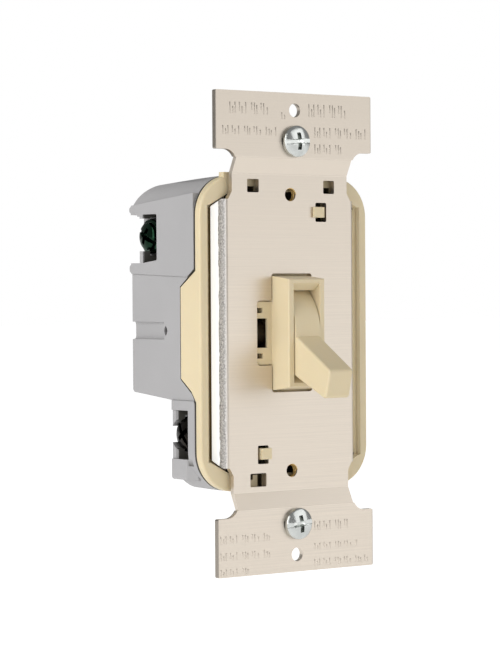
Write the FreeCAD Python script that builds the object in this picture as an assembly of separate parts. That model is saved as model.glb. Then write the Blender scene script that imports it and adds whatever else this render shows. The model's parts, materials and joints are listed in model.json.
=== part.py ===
import FreeCAD, Part
import math
import os

# Toggle-operated lamp dimmer for a wall box, in millimetres.
# X is to the right, Y goes into the wall and Z is up. The origin is the middle of
# the two box screws, on the back face of the mounting ears (the face of the wall).

# ---- driving dimensions: mounting strap ----
STRAP_T = 1.2
EAR_HALF_X = 21.1
EAR_END_Z = 52.2
EAR_INNER_Z = 39.6
EAR_CORNER_R = 0.35
NECK_HALF_X = 15.65
NECK_FILLET_R = 3.0
JOG_FRONT_Z = 38.0
JOG_BACK_Z = 34.5
PLATE_FRONT_Y = 0.6
PLATE_BACK_Y = PLATE_FRONT_Y + STRAP_T
SHOULDER_Z = 30.7
FLANGE_OUT_X = 17.45
FLANGE_TOP_Z = 29.0
FLANGE_FOOT_Z = 27.2
FLANGE_FOOT_Y = 7.0
FLANGE_SHOULDER_Y = 2.2
BEND_OUT_R = 0.8
BOX_SCREW_Z = 41.67
BOX_SCREW_R = 1.75
BOX_NECK_R = 1.35
BOX_SCREW_LENGTH = 18.4
BOX_HEAD_R = 3.45
BOX_HEAD_H = 1.9
BOX_CROWN = 0.8
WASHER_HALF_X = 4.6
WASHER_HALF_Z = 3.6
WASHER_Y = (0.02, 0.42)
PLATE_SCREW_Z = 30.1625
EAR_HOLE_Z = 48.42
EAR_HOLE_R = 1.5
PLATE_SCREW_R = 1.45
BOX_SLOT_R = 2.0
BOX_SLOT_HALF_X = 1.6
SMALL_WINDOWS = [(-11.6, -8.5, 30.5, 33.4), (9.1, 12.1, 30.5, 33.4), (6.9, 9.9, 24.3, 28.5),
                 (-9.15, -6.3, -28.4, -24.4), (-11.2, -6.9, -33.3, -30.4)]

# ---- driving dimensions: front cover ----
RIM_Y = 2.6
BODY_HALF_X = 22.7
BODY_HALF_Z = 34.2
BODY_CORNER_R = 8.7
RIM_BACK_Y = 4.4
FLOOR_FRONT_Y = FLANGE_FOOT_Y
FLOOR_BACK_Y = 8.5
SKIRT_Y = 10.1
SKIRT_TOP_Z = 10.0
SKIRT_BOTTOM_Z = -9.7
SKIRT_T = 1.8
HOOK_FRONT_Y = -0.05
HOOK_GAP = 0.08
HOOKS = [(7.05, 8.9, 25.25, 27.55, -1.0), (-8.5, -6.45, -27.4, -25.0, 0.6)]
RIM_CORNER_IN = (14.3, 30.8)
RIM_SIDE_IN = (20.2, 27.7)
RIM_FRONT_SIDE_IN = 20.75
TUNNEL_HALF = (9.7, 13.6)
WINDOW_PITS = [(-12.0, -8.2, 30.3, 31.9), (8.8, 12.4, 30.3, 31.9), (-10.6, -9.1, -31.9, -30.3)]
SHALLOW_PIT = (-7.9, -6.5, -33.5, -30.3)
WALL_SCREW_BORE_R = 1.8
WALL_SCREW_END_Y = 10.4
SEAM = 0.25
SEAM_LINE = 0.65

# ---- driving dimensions: rear housing ----
WALL = 2.0
HOUSING_FRONT_Y = RIM_BACK_Y + SEAM_LINE
HOUSING_BACK_Y = 29.6
HOUSING_TOP_BACK_Z = 32.3
REAR_TOP_ROUND_R = 6.5
REAR_BOTTOM_ROUND_R = 0.9
PANEL_FRONT = (5.2, 30.3)
PANEL_BACK_Z = 28.3
CASE_SCREW_SEAT_Y = 26.6
CASE_SCREW_HEAD_H = 1.5
STEP_BACK_Z = -13.0
STEP_FRONT_Z = -14.5
STEP_Y = 13.9
BOTTOM_BACK_Z = -33.6
RIDGE_Z = 12.9
RIDGE_PROUD = 0.3
GROOVE_Z = (-1.35, 2.5)
GROOVE_DEPTH = 1.2
GROOVE_FRONT_Y = 17.05
GROOVE_HOLE_R = 1.25
GROOVE_HOLE_Z = 0.55
POCKET_Z = (15.5, 26.2)
POCKET_FRONT_Y = 19.3
POCKET_BACK_Y = 24.8
POCKET_WALL_T = 1.25
POCKET_CORNER_X = 19.2
SIDE_POCKET_Z = (-27.2, -16.6)
SIDE_POCKET_FRONT_Y = 7.6
SIDE_POCKET_WALL_Y = 11.7
LOWER_CORNER_Z = -31.7

# ---- driving dimensions: bezel and toggle ----
BEZEL_HALF_X = 5.0
BEZEL_HALF_Z = 11.9
BEZEL_ROOT_HALF_Z = 12.7
BEZEL_FRONT_Y = -5.2
BEZEL_OPEN_HALF_X = 3.55
BEZEL_OPEN_HALF_Z = 10.85
BEZEL_LIP_HALF_Z = 9.25
BEZEL_LIP_Y = -3.3
NOTCH_HALF_X = 9.15
NOTCH_HALF_Z = 7.05
WING_FRONT_Y = 1.0
PIVOT_Y = 6.4
PIN_R = 1.25
BEARING_END_X = 7.0
DRUM_R = 12.0
DRUM_SHELL = 1.3
DRUM_HALF_X = 3.3
HUB_R = 3.0
TOGGLE_REST_DEG = 23.0
TAIL_LENGTH = 11.0
TAIL_HALF_W = 2.1
TAIL_HALF_X = 1.2

# ---- driving dimensions: inside ----
BOARD_FRONT_Y = 20.3
BOARD_T = 1.6
WIPER_PIN_Y = 16.0
WIPER_PIN_R = 0.6
WIPER_REST_Z = (WIPER_PIN_Y - PIVOT_Y) * math.tan(math.radians(TOGGLE_REST_DEG))
BOSS_XZ = [(-10.0, 27.6), (10.0, 27.6), (-17.4, -8.8), (17.4, -8.8)]
BOSS_R = 2.4
SCREW_HOLE_R = 1.0
CHOKE_XZ = (11.0, 16.6)
CHOKE_R = 7.6
CHOKE_Y = (12.6, 19.4)
ARM_AXIS_X = -12.4
ARM_AXIS_Z = 7.45
ARM_ROLL_R = 0.5

# ---- driving dimensions: terminals ----
TERMINAL_HEAD_R = 3.9
TERMINAL_HEAD_H = 2.3
TERMINAL_FLANGE_H = 0.8
TERMINAL_DOME_R = 3.0
TERMINAL_SHANK_R = 1.75
TERMINAL_FACE_X = 21.9
TERMINAL_CROWN = 0.95
TERMINAL_TIP_X = 12.2
TERMINAL_TRAVEL = 2.3
FLANGE_ROOM_X = TERMINAL_FACE_X - TERMINAL_HEAD_H + TERMINAL_FLANGE_H + 0.3
SIDE_TERMINAL_Y = 11.05
SIDE_TERMINAL_Z = -21.9
GROUND_Y = 25.4
GROUND_Z = 21.4
PLATE_X = 16.2
PLATE_T = 1.0

V = FreeCAD.Vector
AXIS_X = V(1, 0, 0)
AXIS_Y = V(0, 1, 0)
AXIS_Z = V(0, 0, 1)


# ---- building blocks ----
def box(x0, x1, y0, y1, z0, z1):
    return Part.makeBox(x1 - x0, y1 - y0, z1 - z0, V(x0, y0, z0))


def rod_x(r, x0, x1, y, z):
    return Part.makeCylinder(r, x1 - x0, V(x0, y, z), AXIS_X)


def rod_y(r, y0, y1, x, z):
    return Part.makeCylinder(r, y1 - y0, V(x, y0, z), AXIS_Y)


def rod_z(r, z0, z1, x, y):
    return Part.makeCylinder(r, z1 - z0, V(x, y, z0), AXIS_Z)


def plate_xz(points, y0, y1):
    wire = Part.makePolygon([V(x, y0, z) for x, z in points + points[:1]])
    return Part.Face(wire).extrude(V(0, y1 - y0, 0))


def plate_yz(points, x0, x1):
    wire = Part.makePolygon([V(x0, y, z) for y, z in points + points[:1]])
    return Part.Face(wire).extrude(V(x1 - x0, 0, 0))


def union(shapes):
    return shapes[0].multiFuse(shapes[1:]).removeSplitter()


def less(shape, tools):
    return shape.cut(tools).removeSplitter()


def round_edges(shape, radius, wanted):
    return shape.makeFillet(radius, [edge for edge in shape.Edges if wanted(edge)])


def runs_along(edge, axis):
    if len(edge.Vertexes) != 2:
        return False
    step = edge.Vertexes[1].Point - edge.Vertexes[0].Point
    return abs(abs(step.dot(axis)) - step.Length) < 1e-4


def rounded_slab(half_x, low_z, high_z, radius, y0, y1):
    slab = box(-half_x, half_x, y0, y1, low_z, high_z)
    return round_edges(slab, radius, lambda edge: runs_along(edge, AXIS_Y))


def both_sides(shape):
    return [shape, shape.mirror(V(0, 0, 0), AXIS_X)]


def both_ends(shape):
    return [shape, shape.mirror(V(0, 0, 0), AXIS_Z)]


def about_pivot(shape, degrees):
    turned = shape.copy()
    turned.rotate(V(0, PIVOT_Y, 0), AXIS_X, degrees)
    return turned


def save(name, shape):
    shape.exportStep("parts/" + name + ".step")


# ---- mounting strap ----
def ear_end():
    ear = box(-EAR_HALF_X, EAR_HALF_X, -STRAP_T, 0, EAR_INNER_Z, EAR_END_Z)
    ear = round_edges(ear, EAR_CORNER_R, lambda edge: runs_along(edge, AXIS_Y))
    neck = box(-NECK_HALF_X, NECK_HALF_X, -STRAP_T, 0, JOG_FRONT_Z, EAR_INNER_Z + 1)
    web = box(NECK_HALF_X, NECK_HALF_X + NECK_FILLET_R, -STRAP_T, 0,
              EAR_INNER_Z - NECK_FILLET_R + 1.4, EAR_INNER_Z)
    scallop = rod_y(NECK_FILLET_R, -STRAP_T - 1, 1, NECK_HALF_X + NECK_FILLET_R, EAR_INNER_Z - NECK_FILLET_R)
    corner = less(web, [scallop])
    jog = plate_yz([(-STRAP_T, JOG_FRONT_Z), (0, JOG_FRONT_Z), (PLATE_BACK_Y, JOG_BACK_Z),
                    (PLATE_FRONT_Y, JOG_BACK_Z)], -NECK_HALF_X, NECK_HALF_X)
    tongue = box(-NECK_HALF_X, NECK_HALF_X, PLATE_FRONT_Y, PLATE_BACK_Y, SHOULDER_Z - 1, JOG_BACK_Z)
    return union([ear, neck, jog, tongue] + both_sides(corner))


def strap_flange():
    upper = [(FLANGE_FOOT_Y, FLANGE_FOOT_Z), (FLANGE_SHOULDER_Y, FLANGE_TOP_Z), (PLATE_FRONT_Y, FLANGE_TOP_Z)]
    outline = [(y, -z) for y, z in reversed(upper)] + upper
    leg = plate_yz(outline, FLANGE_OUT_X - STRAP_T, FLANGE_OUT_X)
    return round_edges(leg, BEND_OUT_R, on_flange_corner)


def on_flange_corner(edge):
    bounds = edge.BoundBox
    return bounds.XMin > FLANGE_OUT_X - 1e-4 and bounds.YMax < PLATE_FRONT_Y + 1e-4


def strap_windows():
    deep = (PLATE_FRONT_Y - 1, PLATE_BACK_Y + 1)
    bezel_slot = box(-5.2, 5.7, deep[0], deep[1], -12.95, 12.95)
    side_notch = box(-NOTCH_HALF_X, NOTCH_HALF_X, deep[0], deep[1], -NOTCH_HALF_Z, NOTCH_HALF_Z)
    return [
        round_edges(bezel_slot, 0.6, lambda edge: runs_along(edge, AXIS_Y)),
        round_edges(side_notch, 0.8, lambda edge: runs_along(edge, AXIS_Y)),
    ] + [small_window(*sides) for sides in SMALL_WINDOWS]


def small_window(x0, x1, z0, z1):
    window = box(x0, x1, PLATE_FRONT_Y - 1, PLATE_BACK_Y + 1, z0, z1)
    return round_edges(window, 0.3, lambda edge: runs_along(edge, AXIS_Y))


def box_screw_slot():
    ends = [rod_y(BOX_SLOT_R, -STRAP_T - 1, 1, x, BOX_SCREW_Z) for x in (-BOX_SLOT_HALF_X, BOX_SLOT_HALF_X)]
    middle = box(-BOX_SLOT_HALF_X, BOX_SLOT_HALF_X, -STRAP_T - 1, 1,
                 BOX_SCREW_Z - BOX_SLOT_R, BOX_SCREW_Z + BOX_SLOT_R)
    return union(ends + [middle])


def mounting_strap():
    half_x = FLANGE_OUT_X - BEND_OUT_R
    middle = plate_xz([(-half_x, -FLANGE_TOP_Z), (-NECK_HALF_X, -SHOULDER_Z), (NECK_HALF_X, -SHOULDER_Z),
                       (half_x, -FLANGE_TOP_Z), (half_x, FLANGE_TOP_Z), (NECK_HALF_X, SHOULDER_Z),
                       (-NECK_HALF_X, SHOULDER_Z), (-half_x, FLANGE_TOP_Z)], PLATE_FRONT_Y, PLATE_BACK_Y)
    blank = union([middle] + both_ends(ear_end()) + both_sides(strap_flange()))
    holes = strap_windows() + both_ends(box_screw_slot())
    holes += both_ends(rod_y(EAR_HOLE_R, -STRAP_T - 1, 1, 0, EAR_HOLE_Z))
    holes += both_ends(rod_y(PLATE_SCREW_R, -1, PLATE_BACK_Y + 1, 0, PLATE_SCREW_Z))
    return less(blank, holes)


# ---- front cover ----
def cover_hook(x0, x1, z0, z1, reach):
    post = box(x0, x1, HOOK_FRONT_Y, FLOOR_FRONT_Y + 0.5, z0, z1)
    lip = box(min(x0, x0 + reach), max(x1, x1 + reach), HOOK_FRONT_Y, PLATE_FRONT_Y - HOOK_GAP, z0, z1)
    return post.fuse(lip)


def cover_skirt():
    outline = [(RIM_BACK_Y - 0.5, 13.5), (RIM_BACK_Y + 0.1, 13.5), (SKIRT_Y, SKIRT_TOP_Z),
               (SKIRT_Y, SKIRT_BOTTOM_Z), (6.2, -12.4), (RIM_BACK_Y + 0.1, -14.6), (RIM_BACK_Y - 0.5, -14.6)]
    return plate_yz(outline, BODY_HALF_X - SKIRT_T, BODY_HALF_X)


def wall_screw_cup():
    half = WALL_SCREW_BORE_R + 1.1
    return box(-half, half, FLOOR_BACK_Y - 0.5, WALL_SCREW_END_Y + 1,
               PLATE_SCREW_Z - half, BODY_HALF_Z - WALL - 0.1)


def window_pits():
    deep = FLOOR_BACK_Y + 1
    pits = [box(x0, x1, RIM_Y - 1, deep, z0, z1) for x0, x1, z0, z1 in WINDOW_PITS]
    x0, x1, z0, z1 = SHALLOW_PIT
    return pits + [box(x0, x1, RIM_Y - 1, RIM_Y + 1.2, z0, z1)]


def cover_hollow():
    corner_x, corner_z = RIM_CORNER_IN
    side_x, side_z = RIM_SIDE_IN
    hollow = plate_xz([(-corner_x, corner_z), (corner_x, corner_z), (side_x, side_z), (side_x, -side_z),
                       (corner_x, -corner_z), (-corner_x, -corner_z), (-side_x, -side_z), (-side_x, side_z)],
                      RIM_Y - 1, FLOOR_FRONT_Y)
    mouth = box(-RIM_FRONT_SIDE_IN, RIM_FRONT_SIDE_IN, RIM_Y - 1, RIM_BACK_Y - 0.6, -side_z, side_z)
    return hollow.fuse(mouth)


def front_cover():
    rim = rounded_slab(BODY_HALF_X, -BODY_HALF_Z, BODY_HALF_Z, BODY_CORNER_R, RIM_Y, RIM_BACK_Y)
    rim = round_edges(rim, 0.5, lambda edge: abs(edge.BoundBox.YMax - RIM_Y) < 1e-4)
    tray_half_x = BODY_HALF_X - WALL - SEAM
    tray_half_z = BODY_HALF_Z - WALL - SEAM
    tray = rounded_slab(tray_half_x, -tray_half_z, tray_half_z, BODY_CORNER_R - WALL - SEAM,
                        RIM_BACK_Y - 0.5, FLOOR_BACK_Y)
    ledge = box(-16.4, 16.4, RIM_Y, RIM_BACK_Y, BODY_HALF_Z - 1, BODY_HALF_Z + 0.65)
    blank = union([rim, tray, ledge] + both_sides(cover_skirt()) + both_ends(wall_screw_cup()))
    tunnel = box(-TUNNEL_HALF[0], TUNNEL_HALF[0], FLOOR_FRONT_Y - 1, FLOOR_BACK_Y + 1,
                 -TUNNEL_HALF[1], TUNNEL_HALF[1])
    lead_slot = box(-11.8, -4.2, FLOOR_FRONT_Y - 1, FLOOR_BACK_Y + 1, 14.2, 16.0)
    ground_slot = box(-PLATE_X - 0.1, -PLATE_X + PLATE_T + 0.1, FLOOR_FRONT_Y - 1, FLOOR_BACK_Y + 1,
                      16.8, POCKET_Z[1])
    bore = rod_y(WALL_SCREW_BORE_R, FLOOR_FRONT_Y - 1, WALL_SCREW_END_Y, 0, PLATE_SCREW_Z)
    head_scallop = rod_x(TERMINAL_HEAD_R + 0.1, TERMINAL_FACE_X - TERMINAL_TRAVEL - 2.6, BODY_HALF_X,
                         SIDE_TERMINAL_Y, SIDE_TERMINAL_Z)
    cuts = [cover_hollow(), tunnel, lead_slot, ground_slot]
    cuts += window_pits() + both_ends(bore) + both_sides(head_scallop)
    shell = less(blank, cuts)
    hooks = [cover_hook(*sizes) for sizes in HOOKS]
    bosses = [rod_y(BOSS_R, FLOOR_BACK_Y - 0.5, BOARD_FRONT_Y - 0.1, x, z) for x, z in BOSS_XZ]
    bores = [rod_y(SCREW_HOLE_R, FLOOR_BACK_Y + 1, BOARD_FRONT_Y + 1, x, z) for x, z in BOSS_XZ]
    return less(union([shell] + hooks + bosses), bores)


# ---- bezel with the toggle's bearings ----
def bezel_funnel():
    front = [V(x, BEZEL_FRONT_Y - 0.01, z) for x, z in frame_corners(BEZEL_OPEN_HALF_X, BEZEL_OPEN_HALF_Z)]
    lip = [V(x, BEZEL_LIP_Y, z) for x, z in frame_corners(BEZEL_OPEN_HALF_X, BEZEL_LIP_HALF_Z)]
    wires = [Part.makePolygon(corners + corners[:1]) for corners in (front, lip)]
    return Part.makeLoft(wires, True, True)


def frame_corners(half_x, half_z):
    return [(-half_x, -half_z), (half_x, -half_z), (half_x, half_z), (-half_x, half_z)]


def toggle_bezel():
    base_y = 2.0
    front = [V(x, BEZEL_FRONT_Y, z) for x, z in frame_corners(BEZEL_HALF_X - 0.1, BEZEL_HALF_Z - 0.2)]
    back = [V(x, base_y + 1, z) for x, z in frame_corners(BEZEL_HALF_X, BEZEL_ROOT_HALF_Z)]
    nose = Part.makeLoft([Part.makePolygon(c + c[:1]) for c in (front, back)], True, True)
    nose = round_edges(nose, 0.35, lambda edge: edge.BoundBox.YMax < BEZEL_FRONT_Y + 1e-4)
    wing = box(-NOTCH_HALF_X + 0.2, NOTCH_HALF_X - 0.2, WING_FRONT_Y, base_y + 1,
               -NOTCH_HALF_Z + 0.2, NOTCH_HALF_Z - 0.2)
    wing = round_edges(wing, 0.7, lambda edge: runs_along(edge, AXIS_Y))
    block = box(-9.4, 9.4, base_y, FLOOR_BACK_Y, -13.3, 13.3)
    flange = box(-10.8, 10.8, FLOOR_FRONT_Y - 1.3, FLOOR_FRONT_Y, -14.6, 14.6)
    drum_room = rod_x(DRUM_R + 0.3, -BEZEL_OPEN_HALF_X, BEZEL_OPEN_HALF_X, PIVOT_Y, 0)
    back_room = box(-BEZEL_OPEN_HALF_X, BEZEL_OPEN_HALF_X, PIVOT_Y, FLOOR_BACK_Y + 1, -12.3, 12.3)
    lip_solid = box(-BEZEL_OPEN_HALF_X, BEZEL_OPEN_HALF_X, BEZEL_FRONT_Y, BEZEL_LIP_Y, -13, 13)
    side_room = box(BEZEL_HALF_X, 9.0, WING_FRONT_Y + 0.7, FLOOR_BACK_Y + 1, -4.6, 4.6)
    hub_window = box(6.1, 9.0, WING_FRONT_Y - 1, WING_FRONT_Y + 1, -3.2, 3.2)
    small_holes = both_ends(box(7.4, 9.0, WING_FRONT_Y - 1, base_y + 3, 4.4, 5.5))
    side_cuts = [side_room, hub_window] + small_holes
    mirrored = [shape.mirror(V(0, 0, 0), AXIS_X) for shape in side_cuts]
    body = union([nose, wing, block, flange])
    openings = [drum_room.cut(lip_solid), back_room, bezel_funnel(), lip_throat()]
    body = less(body, openings + side_cuts + mirrored)
    bearing = rod_x(HUB_R, BEZEL_HALF_X - 1, BEARING_END_X, PIVOT_Y, 0)
    bearing = bearing.cut(box(4, 9, FLOOR_BACK_Y, PIVOT_Y + HUB_R + 1, -HUB_R - 1, HUB_R + 1))
    return less(union([body] + both_sides(bearing)), [rod_x(PIN_R + 0.02, -10, 10, PIVOT_Y, 0)])


def lip_throat():
    return box(-BEZEL_OPEN_HALF_X, BEZEL_OPEN_HALF_X, BEZEL_LIP_Y - 0.01, PIVOT_Y,
               -BEZEL_LIP_HALF_Z, BEZEL_LIP_HALF_Z)


def pivot_pin():
    return rod_x(PIN_R, -BEARING_END_X - 0.5, BEARING_END_X + 0.5, PIVOT_Y, 0)


# ---- toggle ----
def around_pivot(radius, degrees, x):
    angle = math.radians(degrees)
    return V(x, PIVOT_Y - radius * math.cos(angle), radius * math.sin(angle))


def sector(inner_r, outer_r, half_x, low_deg, high_deg):
    mid_deg = 0.5 * (low_deg + high_deg)
    outer = [around_pivot(outer_r, degrees, -half_x) for degrees in (low_deg, mid_deg, high_deg)]
    inner = [around_pivot(inner_r, degrees, -half_x) for degrees in (high_deg, mid_deg, low_deg)]
    edges = [Part.Arc(*outer).toShape(), Part.makeLine(outer[2], inner[0])]
    if inner_r > 0:
        edges.append(Part.Arc(*inner).toShape())
    edges.append(Part.makeLine(inner[2], outer[0]))
    return Part.Face(Part.Wire(edges)).extrude(V(2 * half_x, 0, 0))


def toggle_handle():
    root = [(-3.6, 0.45), (-3.6, -8.65)]
    tip = [(-17.4, -7.85), (-15.8, -14.15)]
    wires = []
    for (top, bottom), half_x in ((root, DRUM_HALF_X), (tip, 3.2)):
        corners = [V(-half_x, top[0], top[1]), V(half_x, top[0], top[1]),
                   V(half_x, bottom[0], bottom[1]), V(-half_x, bottom[0], bottom[1])]
        wires.append(Part.makePolygon(corners + corners[:1]))
    handle = Part.makeLoft(wires, True, True)
    handle = round_edges(handle, 0.9, lambda edge: edge.BoundBox.YMax < -15 and edge.BoundBox.XLength > 4)
    return round_edges(handle, 0.5, lambda edge: edge.BoundBox.YLength > 8 or edge.BoundBox.YMax < -14)


def toggle_tail():
    arm = box(-TAIL_HALF_X, TAIL_HALF_X, PIVOT_Y, PIVOT_Y + TAIL_LENGTH, -TAIL_HALF_W, TAIL_HALF_W)
    fork = box(-TAIL_HALF_X - 1, TAIL_HALF_X + 1, PIVOT_Y + 8.6, PIVOT_Y + TAIL_LENGTH + 1, -0.85, 0.85)
    lug = box(-TAIL_HALF_X, TAIL_HALF_X, PIVOT_Y + 6.2, PIVOT_Y + 8.6, TAIL_HALF_W - 0.5, 4.0)
    return about_pivot(arm.fuse(lug).cut(fork), TOGGLE_REST_DEG)


def toggle_lever():
    shell = sector(DRUM_R - DRUM_SHELL, DRUM_R, DRUM_HALF_X, -99, 53)
    web = sector(0, DRUM_R - 0.5, 1.4, -99, 53)
    hub = rod_x(HUB_R, -DRUM_HALF_X, DRUM_HALF_X, PIVOT_Y, 0)
    whole = union([shell, web, hub, toggle_handle(), toggle_tail()])
    return less(whole, [rod_x(PIN_R + 0.06, -10, 10, PIVOT_Y, 0)])


# ---- rear housing ----
def housing_block():
    block = rounded_slab(BODY_HALF_X, -BODY_HALF_Z, BODY_HALF_Z, BODY_CORNER_R,
                         HOUSING_FRONT_Y, HOUSING_BACK_Y)
    far = 60
    above = plate_yz([(HOUSING_FRONT_Y, BODY_HALF_Z), (HOUSING_BACK_Y + 1, HOUSING_TOP_BACK_Z - 0.1),
                      (HOUSING_BACK_Y + 1, far), (HOUSING_FRONT_Y, far)], -far, far)
    below = plate_yz([(STEP_Y, STEP_FRONT_Z), (HOUSING_BACK_Y + 1, STEP_BACK_Z),
                      (HOUSING_BACK_Y + 1, -far), (STEP_Y, -far)], -far, far)
    under = plate_yz([(HOUSING_FRONT_Y, -BODY_HALF_Z), (STEP_Y + 1, BOTTOM_BACK_Z - 0.06), (STEP_Y + 1, -far),
                      (HOUSING_FRONT_Y, -far)], -far, far)
    return union([less(block, [above, below, under])] + both_sides(lower_corner()))


def lower_corner():
    outline = [(13.9, 6.4), (20.9, 6.4), (BODY_HALF_X, 8.1), (BODY_HALF_X, STEP_Y), (13.9, STEP_Y)]
    wire = Part.makePolygon([V(x, y, LOWER_CORNER_Z) for x, y in outline + outline[:1]])
    corner = Part.Face(wire).extrude(V(0, 0, SIDE_POCKET_Z[0] - LOWER_CORNER_Z))
    return round_edges(corner, 0.7, lambda edge: runs_along(edge, AXIS_Y) and edge.BoundBox.XMin > 22
                       and edge.BoundBox.ZMax < LOWER_CORNER_Z + 0.1)


def upper_side_panel():
    front_y, front_z = PANEL_FRONT
    outline = [(front_y, 20), (front_y, front_z), (HOUSING_BACK_Y, PANEL_BACK_Z), (HOUSING_BACK_Y, 20)]
    return plate_yz(outline, BODY_HALF_X - BODY_CORNER_R, BODY_HALF_X)


def on_rear_top(edge):
    bounds = edge.BoundBox
    return bounds.YMin > HOUSING_BACK_Y - 1e-4 and bounds.ZMin > 20 and bounds.XLength > 5


def on_rear_bottom(edge):
    bounds = edge.BoundBox
    return bounds.YMin > HOUSING_BACK_Y - 1e-4 and bounds.ZMax < -10 and bounds.XLength > 5


def housing_cavity():
    inner_x = BODY_HALF_X - WALL
    tray = rounded_slab(inner_x, -BODY_HALF_Z + WALL, BODY_HALF_Z - WALL, BODY_CORNER_R - WALL,
                        HOUSING_FRONT_Y - 1, STEP_Y - 1.8)
    back_y = HOUSING_BACK_Y - WALL
    room = rounded_slab(inner_x, -11.4, HOUSING_TOP_BACK_Z - WALL, 1.5, HOUSING_FRONT_Y - 1, back_y)
    room = round_edges(room, REAR_TOP_ROUND_R - WALL, lambda edge: edge.BoundBox.YMin > back_y - 1e-4
                       and edge.BoundBox.ZMin > 20 and edge.BoundBox.XLength > 5)
    corner_keep = housing_corner_keep()
    return [tray, room.cut(corner_keep)]


def housing_corner_keep():
    reach = BODY_CORNER_R - WALL
    keeps = []
    for side in (-1, 1):
        x = side * (BODY_HALF_X - BODY_CORNER_R)
        z = BODY_HALF_Z - BODY_CORNER_R
        block = box(min(x, side * 25), max(x, side * 25), 0, 40, z, 40)
        keeps.append(block.cut(rod_y(reach, -1, 41, x, z)))
    return keeps


def ground_pocket_walls():
    return box(-BODY_HALF_X + 1, -13.9, 17.9, HOUSING_BACK_Y - 0.5, 14.1, 27.6)


def ground_pocket():
    outside = -BODY_HALF_X - 1
    inside = -PLATE_X - 0.1
    low, high = POCKET_Z
    wall_back_y = POCKET_BACK_Y + POCKET_WALL_T
    room = plate_yz([(POCKET_FRONT_Y, low + 0.55), (POCKET_BACK_Y, low), (POCKET_BACK_Y, high),
                     (POCKET_FRONT_Y, high)], outside, inside)
    room = round_edges(room, 0.4, on_pocket_front_corner)
    behind_wall = box(outside, -POCKET_CORNER_X, wall_back_y, HOUSING_BACK_Y + 2, low, high)
    slot = box(-PLATE_X - 0.15, -PLATE_X + PLATE_T + 0.1, 17, HOUSING_BACK_Y - WALL, 16.8, high)
    shank = rod_x(TERMINAL_SHANK_R + 0.4, -PLATE_X - PLATE_T - 0.2, -TERMINAL_TIP_X, GROUND_Y, GROUND_Z)
    over_head = rod_x(TERMINAL_HEAD_R + 0.1, outside, -FLANGE_ROOM_X, GROUND_Y, GROUND_Z)
    over_head = over_head.common(box(outside, inside, 0, HOUSING_BACK_Y + 2, GROUND_Z, high))
    head = [rod.mirror(V(0, 0, 0), AXIS_X) for rod in terminal_head_room(GROUND_Y, GROUND_Z)]
    return [room, behind_wall, slot, shank, over_head] + head


def terminal_head_room(y, z):
    flange = rod_x(TERMINAL_HEAD_R + 0.35, PLATE_X + PLATE_T + 0.1, FLANGE_ROOM_X, y, z)
    dome = rod_x(TERMINAL_DOME_R + 0.35, FLANGE_ROOM_X - 0.1, BODY_HALF_X + 1, y, z)
    return [flange, dome]


def on_pocket_front_corner(edge):
    return runs_along(edge, AXIS_X) and edge.BoundBox.YMax < POCKET_FRONT_Y + 0.1


def ground_pocket_nub():
    return box(-BODY_HALF_X, -BODY_HALF_X + 1.6, POCKET_BACK_Y, POCKET_BACK_Y + 2.2, POCKET_Z[1] - 0.4,
               POCKET_Z[1] + 0.5)


def side_terminal_walls():
    return box(PLATE_X - 1.4, BODY_HALF_X - 1, FLOOR_BACK_Y + 0.2, STEP_Y - 0.5, -29.0, -15.6)


def side_terminal_pocket():
    low, high = SIDE_POCKET_Z
    outside = BODY_HALF_X + 1
    wide = box(BODY_HALF_X - WALL - 0.1, outside, SIDE_POCKET_FRONT_Y, SIDE_POCKET_WALL_Y, low, high)
    deep = box(PLATE_X + PLATE_T + 0.1, outside, FLOOR_BACK_Y - 0.2, SIDE_POCKET_WALL_Y, low, high)
    shelf = box(BODY_HALF_X - 0.3, outside, SIDE_POCKET_WALL_Y - 0.1, STEP_Y + 1, low, high)
    slot = box(PLATE_X - 0.15, PLATE_X + PLATE_T + 0.15, FLOOR_BACK_Y - 0.2, STEP_Y + 1, -26.8, -17.5)
    shank = rod_x(TERMINAL_SHANK_R + 0.25, TERMINAL_TIP_X - TERMINAL_TRAVEL - 0.5, PLATE_X + 1,
                  SIDE_TERMINAL_Y, SIDE_TERMINAL_Z)
    foot = box(10, PLATE_X + 0.1, FLOOR_BACK_Y - 0.1, FLOOR_BACK_Y + 1.1, -26.8, -24.3)
    return [wide, deep, shelf, slot, shank, foot] + terminal_head_room(SIDE_TERMINAL_Y, SIDE_TERMINAL_Z)


def side_groove():
    bottom_x = BODY_HALF_X - GROOVE_DEPTH
    groove = box(bottom_x, BODY_HALF_X + 1, GROOVE_FRONT_Y, HOUSING_BACK_Y + 1, GROOVE_Z[0], GROOVE_Z[1])
    groove = round_edges(groove, 0.5, lambda edge: runs_along(edge, AXIS_Y)
                         and edge.BoundBox.XMax < bottom_x + 0.1)
    hole = rod_x(GROOVE_HOLE_R, BODY_HALF_X - WALL - 1, BODY_HALF_X + 1, GROOVE_FRONT_Y, GROOVE_HOLE_Z)
    return [groove, hole]


def ridge_step():
    return plate_yz([(HOUSING_FRONT_Y, RIDGE_Z - 0.7), (HOUSING_BACK_Y + 1, RIDGE_Z + 0.3),
                     (HOUSING_BACK_Y + 1, STEP_FRONT_Z), (HOUSING_FRONT_Y, STEP_FRONT_Z)],
                    BODY_HALF_X - RIDGE_PROUD, BODY_HALF_X + 1)


def skirt_gap():
    back_y = SKIRT_Y + SEAM_LINE
    outline = [(HOUSING_FRONT_Y - 1, 14.0), (HOUSING_FRONT_Y, 14.0), (back_y, SKIRT_TOP_Z + 0.2),
               (back_y, SKIRT_BOTTOM_Z - 0.2), (6.4, -13.0), (HOUSING_FRONT_Y, -15.0),
               (HOUSING_FRONT_Y - 1, -15.0)]
    return plate_yz(outline, BODY_HALF_X - WALL - 0.1, BODY_HALF_X + 1)


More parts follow.
